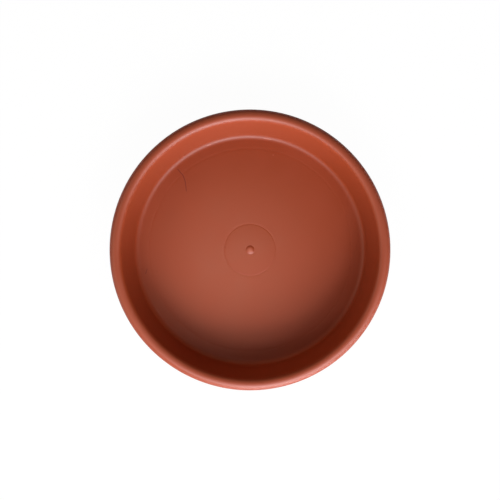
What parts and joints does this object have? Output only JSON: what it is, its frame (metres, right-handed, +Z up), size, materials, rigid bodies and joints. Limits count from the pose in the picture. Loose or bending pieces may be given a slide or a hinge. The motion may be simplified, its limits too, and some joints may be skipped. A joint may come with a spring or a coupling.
{
  "type": "plant saucer",
  "caption": "Round plastic saucer with a flat floor, steep wall and rolled rim that catches the water draining from a plant pot.",
  "frame": {"origin": "on the saucer's axis, at the level that its foot ring stands on", "axes": "+Z up along the axis of the saucer, out of its open side; the saucer is round, so +X and +Y are any two level directions at a right angle"},
  "size_m": [0.2032, 0.2032, 0.032],
  "materials": {
    "saucer_plastic": "satin terracotta-coloured polypropylene with a fine spark-eroded mould grain"
  },
  "bodies": {
    "root": {"saucer": "saucer_plastic"}
  },
  "joints": []
}
